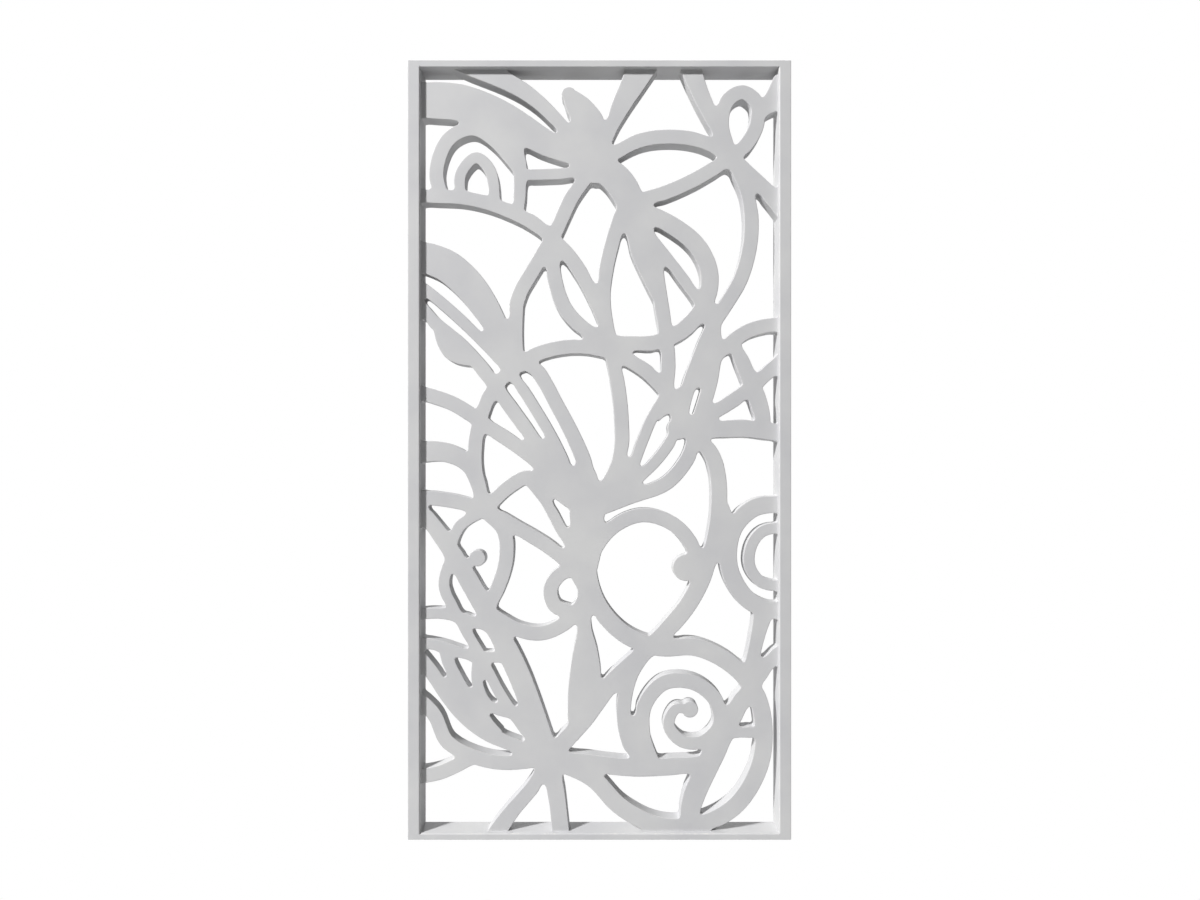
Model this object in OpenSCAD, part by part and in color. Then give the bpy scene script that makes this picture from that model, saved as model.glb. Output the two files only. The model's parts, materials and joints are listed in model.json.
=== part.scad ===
// Hanging room divider panel: a slim frame round one routed sheet of whiplash
// scrollwork. Two rebated side bars hold the sheet, and two thin rails tie them. The
// panel hangs from threaded inserts in the top ends of the side bars.
// The origin is the middle of the top edge. X is the width, the front faces -Y
// and the panel hangs down to z = -panel_h.

/* [Panel] */
// Width over the frame
panel_w = 600; // [540:10:700]
// Height over the frame
panel_h = 1220; // [1100:10:1400]

/* [Frame bars] */
// Width of a side bar's front face
bar_w = 19; // [18:0.5:26]
// Height of a rail's front face
rail_w = 10; // [9:0.5:14]
// Depth of the frame, front to back
frame_depth = 38; // [35:1:50]
// Thickness of the front lip that the fretwork rests against
lip_t = 8; // [6:0.5:10]
// Width of the rebate behind the lip of a side bar
rebate_w = 7; // [5:0.5:8]

/* [Fretwork] */
// Thickness of the routed sheet
fretwork_t = 22; // [18:0.5:24]
// Gap between the sheet's edge and the frame
seat_gap = 0.5; // [0.3:0.1:1]
// Width of an ordinary stem
stem_w = 23; // [19:0.5:25]
// Width of the fine stems and tendrils
fine_w = 18; // [15:0.5:19]
// Width of the main stems
stout_w = 28; // [24:0.5:31]
// Width of a leaf at its middle
leaf_w = 48; // [40:1:54]
// Diameter of the bud that ends a tendril
bud_d = 26; // [22:0.5:30]
// Radius that the router leaves where two stems part
crotch_r = 3; // [1:0.5:5]

/* [Beads] */
// Diameter of a panel pin
pin_d = 1.6; // [1.2:0.1:2]
// Length of a panel pin
pin_len = 15; // [12:0.5:16]
// Widest step between two pins
pin_pitch = 160; // [100:10:220]
// Distance from a bead's end to its first pin
pin_end = 40; // [20:5:60]

/* [Rail screws] */
// Diameter of a screw's shank
screw_d = 3; // [2.5:0.5:3.5]
// Length of a screw under its head
screw_len = 30; // [25:1:36]

/* [Corner dowels] */
// Diameter of a dowel
dowel_d = 5; // [4:0.5:6]
// Length of a dowel
dowel_len = 32; // [26:1:38]
// How far a dowel reaches into the side bar
dowel_in_stile = 13; // [9:0.5:14]
// Distance between the two dowels of a corner
dowel_step = 22; // [20:1:24]
// Glue clearance on the dowel's diameter
dowel_fit = 0.1; // [0.05:0.05:0.3]
// Glue space beyond each end of a dowel
dowel_relief = 1; // [0.5:0.1:1.5]

/* [Hanging inserts] */
// Outer diameter of an insert
insert_d = 10; // [8:0.5:11]
// Length of an insert, which ends above the rebate
insert_len = 9; // [8:0.5:9]
// Bore of an insert, for an M6 thread
insert_bore = 6; // [5:0.5:6.5]
// Clearance on the insert's outer diameter
insert_fit = 0.1; // [0.05:0.05:0.3]

/* [Hidden] */

$fn = 48;
cut = 1;                                  // how far a cutting solid runs past a face
fastener_fit = 0.1;                       // clearance on a pin's or a screw's diameter
insert_relief = 0.5;                      // space under an insert
head_d = 2 * screw_d;                     // a screw's countersunk head
head_h = screw_d / 2;
head_land = 0.3;                          // straight rim of the head
tip_len = 1.5 * screw_d;                  // a screw's point, and its blunt end
tip_d = 0.5;

// The opening that shows inside the frame
opening_w = panel_w - 2 * bar_w;
opening_h = panel_h - 2 * rail_w;
front_y = -frame_depth / 2;
sheet_y = front_y + lip_t;                // front face of the fretwork
sheet_mid = sheet_y + fretwork_t / 2;
bead_y = sheet_y + fretwork_t;            // front face of the beads
bead_d = frame_depth - lip_t - fretwork_t;
border_w = rebate_w - seat_gap;
insert_x = (panel_w - bar_w) / 2;         // the inserts are centred in the side bars

// The scrollwork is laid out on a grid of cells, counted from the lower left corner, so
// that it follows the panel's size. The grid keeps a side bar's width from every edge.
cells_x = 56;
cells_y = 118;
cell = [opening_w / cells_x, (panel_h - 2 * bar_w) / cells_y];
turn_step = 10;                           // turn of a stem from one facet to the next
side_run = 1.5;                           // cells that a stem runs on into a side bar
rail_run = 3.5;                           // and past a rail

paint = [0.80, 0.79, 0.81];
beech = [0.80, 0.66, 0.47];
steel = [0.62, 0.63, 0.65];
brass = [0.76, 0.62, 0.32];

// ---------------------------------------------------------------- stems

// A smooth curve runs through a stem's points. Before the first point and after the
// last it goes straight on.
function guide(p, i) =
    i < 0 ? 2 * p[0] - p[1] :
    i >= len(p) ? 2 * p[len(p) - 1] - p[len(p) - 2] : p[i];

function place(p, i, t) =
    let (a = guide(p, i - 1), b = p[i], c = guide(p, i + 1), d = guide(p, i + 2))
    0.5 * (2 * b + (c - a) * t + (2 * a - 5 * b + 4 * c - d) * t * t
        + (3 * b - a - 3 * c + d) * t * t * t);

function heading(p, i, t) =
    let (a = guide(p, i - 1), b = p[i], c = guide(p, i + 1), d = guide(p, i + 2))
    (c - a) + 2 * (2 * a - 5 * b + 4 * c - d) * t + 3 * (3 * b - a - 3 * c + d) * t * t;

function angle_between(u, v) =
    acos(max(-1, min(1, u * v / (norm(u) * norm(v)))));

// Facets in a span of the curve, by how much it turns
function facets(p, i) =
    let (u = heading(p, i, 0), m = heading(p, i, 0.5), v = heading(p, i, 1))
    max(2, ceil((angle_between(u, m) + angle_between(m, v)) / turn_step));

// Each station is [span, part of the span, part of the whole stem]
function stations(p) = concat(
    [for (i = [0 : len(p) - 2]) let (n = facets(p, i))
        for (k = [0 : n - 1]) [i, k / n, (i + k / n) / (len(p) - 1)]],
    [[len(p) - 2, 1, 1]]);

function on_sheet(q) = [q[0] * cell[0], q[1] * cell[1]];

// Widths are given at the start, the middle and the end of a stem
function width_at(w, s) =
    w[0] * (1 - s) * (1 - 2 * s) + 4 * w[1] * s * (1 - s) + w[2] * s * (2 * s - 1);

function edge_point(p, w, st, side) =
    let (h = on_sheet(heading(p, st[0], st[1])), c = on_sheet(place(p, st[0], st[1])))
    c + side * width_at(w, st[2]) / 2 * [-h[1], h[0]] / norm(h);

// A stem through points p, in cells, with widths w, in millimetres
module stem(p, w) {
    st = stations(p);
    last = len(st) - 1;
    polygon(concat([for (s = st) edge_point(p, w, s, 1)],
        [for (k = [last : -1 : 0]) edge_point(p, w, st[k], -1)]));
}

module even_stem(p, w) stem(p, [w, w, w]);

module disc(p, d) translate(on_sheet(p)) circle(d = d, $fn = 24);

// A tendril is a stem that ends in a round bud
module tendril(p, w) {
    stem(p, [w, w, fine_w * 0.8]);
    disc(p[len(p) - 1], bud_d);
}

// A leaf grows from its stalk at the first point to its blunt tip at the last
module leaf(p, w = leaf_w) {
    stem(p, [fine_w, w, fine_w]);
    disc(p[len(p) - 1], fine_w);
}

// ---------------------------------------------------------------- scrollwork

left_edge = -side_run;
right_edge = cells_x + side_run;
lower_edge = -rail_run;
upper_edge = cells_y + rail_run;

// Knots where several stems meet
upper_knot = [27.5, 104];
right_knot = [48.7, 105];
side_knot = [15, 73];
crossing = [46, 79];
heart = [26, 49];
left_knot = [10, 49.5];
fan_knot = [40.5, 62.5];
foot = [20, 10.5];

module knots() {
    disc(upper_knot, stout_w * 2.2);
    disc(right_knot, stout_w * 1.4);
    disc(side_knot, stout_w * 1.4);
    disc(crossing, stem_w);
    disc(heart, stout_w * 1.6);
    disc(left_knot, stout_w);
    disc(fan_knot, stout_w * 1.3);
    disc(foot, stout_w * 1.7);
}

// A broad leaf sweeps from the left edge to the upper knot under an arch
module upper_left() {
    stem([[3.6, upper_edge], [13, 117.3], [18.5, 113.7], [23.5, 108.5], upper_knot],
        [stout_w * 1.5, stem_w, stem_w]);
    stem([[left_edge, 114.1], [6, 113.7], [13, 111.1], [19.5, 107.4], upper_knot],
        [leaf_w * 1.2, leaf_w * 1.1, stem_w]);
    stem([[13, 110], [15, 106], [15.6, 101.5], [15.2, 96]], [stout_w, stem_w, fine_w]);
    even_stem([[15.2, 102.3], [20, 102.4], [24.5, 102.8], upper_knot], fine_w);
    even_stem([[3.2, 98.6], [2.4, 103], [4.2, 107.8], [8.2, 109.6], [12, 107.4], [15.7, 103]],
        stem_w);
    even_stem([[6.2, 98.4], [6.2, 102.4], [8.6, 105], [11, 102.6], [11.6, 97.4]], fine_w);
    even_stem([[left_edge, 99], [7, 98.7], [14, 96.6], [20, 93], [25, 87], [28.5, 80], [30, 75]],
        stem_w);
    disc([20.6, 92.4], stout_w * 1.1);
}

// A leaf and two stems rise from the upper knot to the top edge
module upper_middle() {
    stem([upper_knot, [27.2, 108.5], [25.4, 112], [23.2, 115]], [stem_w, leaf_w, stem_w]);
    disc([23.2, 115], stem_w);
    stem([upper_knot, [29.2, 108.2], [31.2, 112.8], [35.9, upper_edge]],
        [stout_w, stem_w, leaf_w * 1.1]);
    even_stem([upper_knot, [34, 107.6], [40, 108.3], [45, 107.3], right_knot], stem_w);
    even_stem([[33, 98], [38, 99.4], [43, 101.6], right_knot], stem_w);
}

// A stem crosses from the top edge to the right knot, beside a teardrop loop
module upper_right() {
    stem([[41.3, upper_edge], [44.6, 113.5], [47, 108.8], right_knot],
        [stout_w * 1.3, stem_w, stout_w]);
    even_stem([right_knot, [47.2, 110], [48, 113.8], [50.5, 115.3], [52.8, 113.4],
        [52.6, 109.8], [50.8, 106.8], right_knot], stem_w);
    stem([[52.4, 111], [54.5, 113.2], [right_edge, 116]], [fine_w, stout_w, stout_w * 2]);
    stem([right_knot, [52.5, 101.6], [right_edge, 96.5]], [stout_w, stem_w, stout_w * 1.3]);
    even_stem([right_knot, [51.3, 99.5], [51.8, 92.5], [50, 85.5], crossing, [43.5, 73],
        [41.5, 67.5], fan_knot], stem_w);
}

// The main stem drops from the upper knot, and a crescent and a loop leave it
module upper_core() {
    stem([upper_knot, [31, 101.3], [33.5, 96.5], [34.6, 90.5], [37.2, 83]],
        [stout_w * 1.5, stout_w * 1.6, fine_w]);
    even_stem([[34, 96.5], [36.4, 91], [37.4, 84], [38.4, 77.5], [38.8, 72], [38.3, 66]], stem_w);
    even_stem([[32.8, 96.5], [36.8, 91.5], [41.4, 85.6], crossing], fine_w);
    stem([[33.8, 97], [39, 94.6], [43.3, 91.2], [45.3, 86.5], [44.2, 81.3], [40.5, 77.5],
        [36, 75.8], [30, 76]], [stout_w, stout_w, stem_w]);
    even_stem([[32.5, 99], [30, 91.5], [28.6, 83], [30, 74], [31.3, 66], [31, 57], heart], stem_w);
    even_stem([upper_knot, [23.8, 99], [21.2, 93.5], [18, 88], [15, 82], side_knot], stem_w);
    even_stem([[20.7, 92.5], [20.8, 87], [22.5, 81.5], [26, 77.8], [30, 76]], stem_w);
}

// A broad leaf and long stems run down from the left edge
module left_leaves() {
    stem([[left_edge, 90], [4, 88], [8.3, 84], [11.5, 79], side_knot],
        [stem_w * 2, leaf_w, stem_w]);
    even_stem([[left_edge, 86], [4, 81.5], [9, 76.8], [14, 71.3], [17.6, 66], [20.9, 60.3],
        [23.6, 54.5], heart], fine_w);
    stem([[left_edge, 83.5], [2.2, 79], [6, 75.8], [10, 71.3], [14, 65.8], [18.3, 59.8],
        [22.3, 53.8], heart], [fine_w, stem_w, fine_w]);
    leaf([[8.5, 73], [4.8, 74.6], [2.6, 78.5]], stout_w);
    even_stem([[left_edge, 68.5], [5, 66.3], [10, 63], [16, 59], [21, 54.5], heart], stem_w);
}

// A high arch springs from the left knot, and the fan of stems under it meets in the heart
module fan() {
    even_stem([left_knot, [8.5, 56], [9, 63], [12, 69.5], [17.5, 73.8], [24, 75.3], [30, 74.3],
        [35.5, 71.3], [40, 66.5]], stem_w);
    stem([side_knot, [18.2, 71.5], [21.2, 66.3], [24.2, 60.5], [26.3, 54.5], heart],
        [stem_w, stem_w, stout_w]);
    stem([[25.2, 58], [26, 52], [26, 46], [26, 39]], [fine_w, stout_w * 2, stout_w]);
    even_stem([[38.3, 67.5], [36, 63.5], [34.2, 59], [31.6, 53], heart], fine_w);
    even_stem([[40, 66.5], [39.8, 61.8], [36.6, 57], [31.5, 52.5], heart], fine_w);
    even_stem([[43, 62], [42, 58], [38.5, 53.8], [33, 51.7], heart], stem_w);
}

// Curves run in from the right edge to the fan
module right_curves() {
    even_stem([[right_edge, 79], [51.5, 77.8], [46.3, 73.8], [41.5, 68.3], [36.8, 64.6]],
        stem_w);
    even_stem([[right_edge, 74], [52, 69], [46.5, 65.3], fan_knot], stem_w);
    stem([[49, 76], [51.5, 70.5], [53.3, 65.5], [54, 62]], [fine_w, stout_w, fine_w]);
    even_stem([[right_edge, 61.5], [51, 62.4], [45.5, 62.2], fan_knot], stout_w);
    even_stem([crossing, [46, 73], [44.8, 67.5], [43, 62]], stem_w);
}

// An open ring hangs from the heart, between the trunk and a long stem on its right
module ring() {
    even_stem([[26.1, 38], [26.9, 42.6], [30, 46.8], [34.8, 48.8], [39.8, 47.2], [43, 43],
        [43.6, 38]], stem_w);
    stem([[42.5, 62], [46, 57.5], [46.8, 50.5], [45.6, 43], [42.3, 35.3], [36.5, 28.5], [30, 22.5],
        [25.5, 16.5], foot], [stem_w, stout_w, stout_w]);
    stem([[45, 40.5], [43.6, 41], [41.6, 40.5]], [stem_w, stout_w * 1.4, stout_w * 1.5]);
    disc([41.6, 40.5], stout_w * 1.5);
}

// Bands, a volute and short links fill the left side beside the heart
module left_middle() {
    stem([[left_edge, 58.7], [4, 58.6], [8, 56], left_knot], [stout_w * 1.3, stout_w, stem_w]);
    even_stem([[left_edge, 51.8], [5, 51], left_knot, [15, 46.8], [20, 43.8], [24, 40.3],
        [26.3, 36]], stem_w);
    even_stem([left_knot, [13.5, 53], [18, 54.5], heart], stem_w);
    even_stem([[16.5, 54.8], [19.6, 51], [22, 46.5], [25.2, 41.5]], fine_w);
    even_stem([left_knot, [13, 46.3], [13.3, 41.5], [11.8, 36.8], [9.5, 32]], stem_w);
    stem([[left_edge, 51.2], [3.2, 45.4], [7.3, 38.8], [11.5, 31.4], [15.3, 23.8], [18.2, 15.8],
        foot], [stem_w, stout_w * 1.2, stout_w * 1.3]);
    even_stem([[4.6, 42], [3.6, 37.6], [5.7, 33], [9, 27.2], [12.3, 20.8], [16.3, 15], foot],
        fine_w);
    stem([foot, [21.2, 5], [22.2, lower_edge]], [stout_w * 1.3, stout_w, stout_w]);
    tendril([left_knot, [6.3, 47.3], [4.8, 43.8], [6.3, 40.9], [8.8, 42]], fine_w);
    even_stem([[left_edge, 33], [3.5, 33.3], [10.5, 31.2]], fine_w);
}

// Fine stems and a second foot run down to the lower left corner
module lower_left() {
    even_stem([[left_edge, 29], [3.5, 28], [8, 26.6], [13, 26.4]], fine_w);
    even_stem([[left_edge, 28], [2, 23.5], [5.5, 18.5], [10.5, 14.3], foot], stem_w);
    even_stem([[left_edge, 20.8], [2, 17.4], [4.2, 13], [9, 10.5], [14, 9.8], foot],
        stem_w);
    even_stem([[left_edge, 7.5], [3, 8.3], [8, 10.6]], stem_w);
    even_stem([[9, 27], [8.8, 22.6], [10.4, 19], [14, 17.6]], fine_w);
    stem([[3.5, 28], [5.2, 23.5], [8.3, 18.5], [12, 14.3]], [fine_w, stem_w, fine_w]);
    stem([foot, [17.5, 6], [14.5, 2.5], [10, lower_edge]],
        [stem_w, stem_w, stout_w]);
}

// The trunk goes on down from the heart with a small volute beside it
module trunk() {
    even_stem([[25.8, 42], [25.6, 31], [25.8, 22], [25, 17]], stem_w);
    leaf([[25.7, 32], [25.8, 24], [25.4, 18.5], [24, 14]], stout_w * 1.9);
    even_stem([[10.5, 33.5], [15, 30.8], [19.5, 30.3], [23.8, 32.8], [26.3, 37]], stem_w);
    even_stem([[25.8, 40], [22.4, 39.8], [20.4, 37.4], [21, 34.6], [23.6, 33.4]], stem_w);
    even_stem([foot, [26, 9.8], [34, 9], [44.6, 9.6]], stout_w);
}

// A large round fills the lower right, with an inner ring, a volute and spokes
module lower_round() {
    even_stem([heart, [26, 41.5], [27.5, 35.2], [31.6, 30.3], [37.2, 28], [43, 28],
        [48, 25.8], [51.8, 22], [53.7, 16.5], [53.2, 9.5], [49.5, 3.2], [43.5, 0],
        [37, 0], [31.3, 2.9], [26.7, 7.5], foot], stout_w);
    even_stem([[36, 28.2], [33, 23.8], [31.8, 18], [33, 12.3], [36.5, 9]], stem_w);
    tendril([[36.5, 9.5], [34.9, 13.8], [35, 18.6], [38, 22.3], [42.5, 22.5], [46, 20],
        [46.9, 16], [44.4, 13.2], [41, 13.2], [38.9, 15.6], [39.9, 18.2], [42.2, 18.2]], stem_w);
    stem([[52, 22], [49, 17.5], [46, 11.5], [43, 5], [41.8, 0]],
        [stem_w, stout_w * 1.3, stout_w]);
    even_stem([[53.8, 14.5], [49.5, 14.6], [45.8, 13.7]], fine_w);
}

// A volute at the right edge joins the ring's stem to the round
module right_volute() {
    even_stem([[right_edge, 50.5], [52.5, 50], [49, 46.5], [48.3, 41], [50.5, 36.3], [54, 34],
        [right_edge, 33.8]], stout_w);
    even_stem([[right_edge, 47], [53.8, 46.3], [51.9, 44], [51.6, 40.8], [53.5, 38.2],
        [right_edge, 37.4]], fine_w);
    stem([[54, 34.3], [52.8, 29.5], [51.5, 23]], [stout_w * 1.3, stem_w, stout_w]);
    even_stem([[46.8, 51], [48.2, 48], [50, 48]], stem_w);
    even_stem([[52.3, 22], [54.5, 25.5], [right_edge, 28]], stem_w);
}

module scrollwork() {
    knots();
    upper_left();
    upper_middle();
    upper_right();
    upper_core();
    left_leaves();
    fan();
    right_curves();
    ring();
    left_middle();
    lower_left();
    trunk();
    lower_round();
    right_volute();
}

sheet_h = opening_h - 2 * seat_gap;
sheet_low = rail_w + seat_gap - bar_w;    // its lower edge, from the grid's corner

// The sheet's outline: scrollwork between two plain borders, which the side bars hold
module sheet_outline() {
    intersection() {
        translate([-border_w, sheet_low]) square([opening_w + 2 * border_w, sheet_h]);
        offset(r = -crotch_r, $fn = 8) offset(delta = crotch_r) {
            scrollwork();
            for (x = [-border_w - bar_w, opening_w])
                translate([x, sheet_low - bar_w])
                    square([border_w + bar_w, sheet_h + 2 * bar_w]);
        }
    }
}

module fretwork_panel() {
    color(paint) difference() {
        translate([-opening_w / 2, sheet_y + fretwork_t, bar_w - panel_h])
            rotate([90, 0, 0])
            linear_extrude(fretwork_t) sheet_outline();
        screw_row(top_screws, fastener_fit, cut);
        translate([0, 0, -panel_h]) mirror([0, 0, 1])
            screw_row(bottom_screws, fastener_fit, cut);
    }
}

// ---------------------------------------------------------------- rail screws

// One screw goes into each stem that meets a rail. Their places are in cells.
top_screws = [11.8, 33.8, 42.4];
bottom_screws = [12.7, 22, 42];

// A countersunk screw points down from z = 0. Widened by grow and drawn out by run at
// both ends, it cuts its own hole.
module screw(grow = 0, run = 0) {
    tip_r = tip_d / 2;
    shank_r = (screw_d + grow) / 2;
    head_r = (head_d + grow) / 2;
    rotate_extrude() polygon([[0, -screw_len - run], [tip_r, -screw_len - run],
        [shank_r, tip_len - screw_len - run], [shank_r, -head_land - head_h],
        [head_r, -head_land], [head_r, run], [0, run]]);
}

module screw_row(places, grow = 0, run = 0) {
    for (x = places)
        translate([x * cell[0] - opening_w / 2, sheet_mid, 0]) screw(grow, run);
}

module top_rail_screws() color(steel) screw_row(top_screws);
module bottom_rail_screws() color(steel) translate([0, 0, -panel_h]) mirror([0, 0, 1])
    screw_row(bottom_screws);

// ---------------------------------------------------------------- frame bars

// Bores for the two dowels of a corner, along X from the point given
module dowel_pair(x, z, length, d) {
    for (y = [-dowel_step / 2, dowel_step / 2])
        translate([x, y, z]) rotate([0, 90, 0]) cylinder(d = d, h = length);
}

joint_x = opening_w / 2;                  // where a rail meets a side bar
top_dowel_z = -rail_w / 2;
bottom_dowel_z = rail_w / 2 - panel_h;

// Pins go through the bead into the side bar, at even steps along the opening
pin_y = bead_y + bead_d / 2;
pin_run = opening_h - 2 * pin_end;
pin_steps = ceil(pin_run / pin_pitch);

// A pin lies along +X with its head on the bead's inner face
module pin_row(d) {
    for (k = [0 : pin_steps])
        translate([joint_x, pin_y, pin_run * k / pin_steps - (panel_h + pin_run) / 2])
            rotate([0, 90, 0]) cylinder(d = d, h = pin_len);
}

// The right-hand side bar. The left one is its mirror image.
module stile() {
    difference() {
        translate([joint_x, front_y, -panel_h]) cube([bar_w, frame_depth, panel_h]);
        // rebate, stopped at the rails
        translate([joint_x - cut, sheet_y, rail_w - panel_h])
            cube([rebate_w + cut, frame_depth, opening_h]);
        for (z = [top_dowel_z, bottom_dowel_z])
            dowel_pair(joint_x - cut, z, dowel_in_stile + dowel_relief + cut,
                dowel_d + dowel_fit);
        pin_row(pin_d + fastener_fit);
        translate([insert_x, 0, -insert_len - insert_relief])
            cylinder(d = insert_d + insert_fit, h = insert_len + insert_relief + cut);
    }
}

module left_stile() color(paint) mirror([1, 0, 0]) stile();
module right_stile() color(paint) stile();

// A rail lies with its outer edge at z = 0, between the side bars
module rail(screws) {
    bore_depth = dowel_len - dowel_in_stile + dowel_relief;
    difference() {
        translate([-opening_w / 2, front_y, -rail_w]) cube([opening_w, frame_depth, rail_w]);
        for (side = [0, 1]) mirror([side, 0, 0])
            dowel_pair(joint_x - bore_depth, top_dowel_z, bore_depth + cut,
                dowel_d + dowel_fit);
        screw_row(screws, fastener_fit, cut);
    }
}

module top_rail() color(paint) rail(top_screws);
module bottom_rail() color(paint) translate([0, 0, -panel_h]) mirror([0, 0, 1])
    rail(bottom_screws);

// ---------------------------------------------------------------- beads and pins

// A bead fills the rebate behind the sheet, over the opening's height
module bead() {
    difference() {
        translate([joint_x, bead_y, rail_w - panel_h + seat_gap])
            cube([border_w, bead_d, sheet_h]);
        pin_row(pin_d + fastener_fit);
    }
}

module left_bead() color(paint) mirror([1, 0, 0]) bead();
module right_bead() color(paint) bead();

module left_bead_pins() color(steel) mirror([1, 0, 0]) pin_row(pin_d);
module right_bead_pins() color(steel) pin_row(pin_d);

// ---------------------------------------------------------------- dowels and inserts

module corner_dowels(z)
    dowel_pair(joint_x + dowel_in_stile - dowel_len, z, dowel_len, dowel_d);

module top_left_dowels() color(beech) mirror([1, 0, 0]) corner_dowels(top_dowel_z);
module top_right_dowels() color(beech) corner_dowels(top_dowel_z);
module bottom_left_dowels() color(beech) mirror([1, 0, 0]) corner_dowels(bottom_dowel_z);
module bottom_right_dowels() color(beech) corner_dowels(bottom_dowel_z);

// A headless threaded insert, flush with the top edge
module hanging_insert() {
    difference() {
        translate([0, 0, -insert_len]) cylinder(d = insert_d, h = insert_len);
        translate([0, 0, -insert_len - cut]) cylinder(d = insert_bore, h = insert_len + 2 * cut);
    }
}

module left_hanging_insert() color(brass) translate([-insert_x, 0, 0]) hanging_insert();
module right_hanging_insert() color(brass) translate([insert_x, 0, 0]) hanging_insert();

left_stile();
right_stile();
top_rail();
bottom_rail();
fretwork_panel();
left_bead();
right_bead();
left_bead_pins();
right_bead_pins();
top_rail_screws();
bottom_rail_screws();
top_left_dowels();
top_right_dowels();
bottom_left_dowels();
bottom_right_dowels();
left_hanging_insert();
right_hanging_insert();
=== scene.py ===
# %% [markdown]
# # A hanging room divider panel
# The real object is a slim painted frame round one sheet of routed scrollwork. Two side
# bars hold the sheet in rebates, two thin rails tie them together, and the panel hangs
# from threaded inserts in the top ends of the side bars. The construction comes from the
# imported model, already at its real size and in metres. This notebook gives each piece its
# finish and the small shapes that paint and tools leave: eased edges, smooth cutter
# curves, screw recesses, a thread. It starts by loading that frame and measuring it.

# %% Load the construction
import bpy
import bmesh
import json
import math
from mathutils import Matrix, Vector


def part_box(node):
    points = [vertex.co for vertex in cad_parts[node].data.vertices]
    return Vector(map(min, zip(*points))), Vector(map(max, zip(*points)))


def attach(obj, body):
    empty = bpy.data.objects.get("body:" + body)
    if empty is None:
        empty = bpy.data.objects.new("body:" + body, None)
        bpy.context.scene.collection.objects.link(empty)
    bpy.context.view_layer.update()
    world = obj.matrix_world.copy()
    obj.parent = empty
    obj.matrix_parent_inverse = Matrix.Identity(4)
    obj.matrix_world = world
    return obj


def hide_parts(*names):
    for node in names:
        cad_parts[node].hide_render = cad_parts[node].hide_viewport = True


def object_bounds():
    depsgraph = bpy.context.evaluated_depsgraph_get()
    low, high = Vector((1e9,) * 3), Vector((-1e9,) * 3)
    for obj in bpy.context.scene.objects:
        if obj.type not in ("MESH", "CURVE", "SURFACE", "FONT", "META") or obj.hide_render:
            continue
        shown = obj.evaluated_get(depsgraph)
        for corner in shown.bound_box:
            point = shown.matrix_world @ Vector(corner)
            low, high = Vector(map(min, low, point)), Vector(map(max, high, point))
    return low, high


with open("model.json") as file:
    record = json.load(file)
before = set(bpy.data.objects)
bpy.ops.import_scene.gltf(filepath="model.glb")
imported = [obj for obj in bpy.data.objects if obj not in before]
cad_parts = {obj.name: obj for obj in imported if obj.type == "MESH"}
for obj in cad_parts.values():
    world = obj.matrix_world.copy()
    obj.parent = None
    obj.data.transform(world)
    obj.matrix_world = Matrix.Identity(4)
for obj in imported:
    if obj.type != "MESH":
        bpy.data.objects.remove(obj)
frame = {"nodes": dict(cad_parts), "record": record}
cad_low, cad_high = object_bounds()
MM = 0.001
WELD = 0.01 * MM                    # packed points closer than this are one point

sheet_low, sheet_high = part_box("fretwork_panel")
top_low, top_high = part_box("top_rail")
foot_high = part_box("bottom_rail")[1]
panel_w = cad_high.x - cad_low.x
panel_h = cad_high.z - cad_low.z
front_y = cad_low.y
open_x = top_high.x                 # where the side bars' inner faces are
open_high, open_low = top_low.z, foot_high.z
print("panel %.0f x %.0f mm, %.0f mm deep" % (panel_w / MM, panel_h / MM,
                                              (cad_high.y - cad_low.y) / MM))
print("opening %.0f x %.0f mm" % (2 * open_x / MM, (open_high - open_low) / MM))

# %% [markdown]
# ## Colours and nodes
# Colours are easiest to choose as the hex values that a paint chart or a photograph
# gives. Blender's shaders work in linear light, so one function does the conversion. A
# second small function adds a node, sets it and feeds its sockets. It serves shaders and
# Geometry Nodes alike, which keeps every tree below short enough to read.

# %% Hex colours and one way to add a node
def linear(hex_colour):
    """An sRGB hex colour as the linear RGBA that a shader wants."""
    parts = [int(hex_colour[i:i + 2], 16) / 255 for i in (1, 3, 5)]
    return [c / 12.92 if c <= 0.04045 else ((c + 0.055) / 1.055) ** 2.4
            for c in parts] + [1]


def add(tree, kind, inputs=None, **settings):
    """Adds a node. inputs gives a socket its value, or the outputs that feed it."""
    made = tree.nodes.new(kind)
    for name, value in settings.items():
        setattr(made, name, value)
    for name, value in (inputs or {}).items():
        feeds = value if isinstance(value, (list, tuple)) else [value]
        if isinstance(feeds[0], bpy.types.NodeSocket):
            for feed in feeds:
                tree.links.new(feed, made.inputs[name])
        else:
            made.inputs[name].default_value = value
    return made


def new_material(name):
    """A material, its empty tree, and the object's own coordinates in that tree."""
    material = bpy.data.materials.new(name)
    material.use_nodes = True
    tree = material.node_tree
    tree.nodes.clear()
    return material, tree, add(tree, "ShaderNodeTexCoord").outputs["Object"]


print("hex #CFCFCF is", [round(c, 3) for c in linear("#CFCFCF")])

# %% [markdown]
# ## Satin paint: its colour
# The whole panel is sprayed one pale, faintly cool grey, a furniture paint of low sheen.
# Its colour drifts by a few hundredths from one hand's breadth to the next. On the eased
# edges the coat is thin and gets rubbed, so they are a touch lighter and warmer in
# patches. The edges need no mask of their own: only they have normals that lean away
# from the front by some 20 to 70 degrees, so the normal itself says where they are.

# %% Paint colour
PAINT = "#CFCFCF"
PAINT_DEEP = "#C5C5C7"
PAINT_THIN = "#DCDAD6"
CLOUD = 90 * MM                     # from one drift of the colour to the next
RUB = 9 * MM                        # width of a rubbed spot
RUBBED = 0.8                        # how far a rubbed spot goes to the thin colour
NOISE_SPAN = {"From Min": 0.3, "From Max": 0.7}     # where most of a noise's values lie


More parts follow.
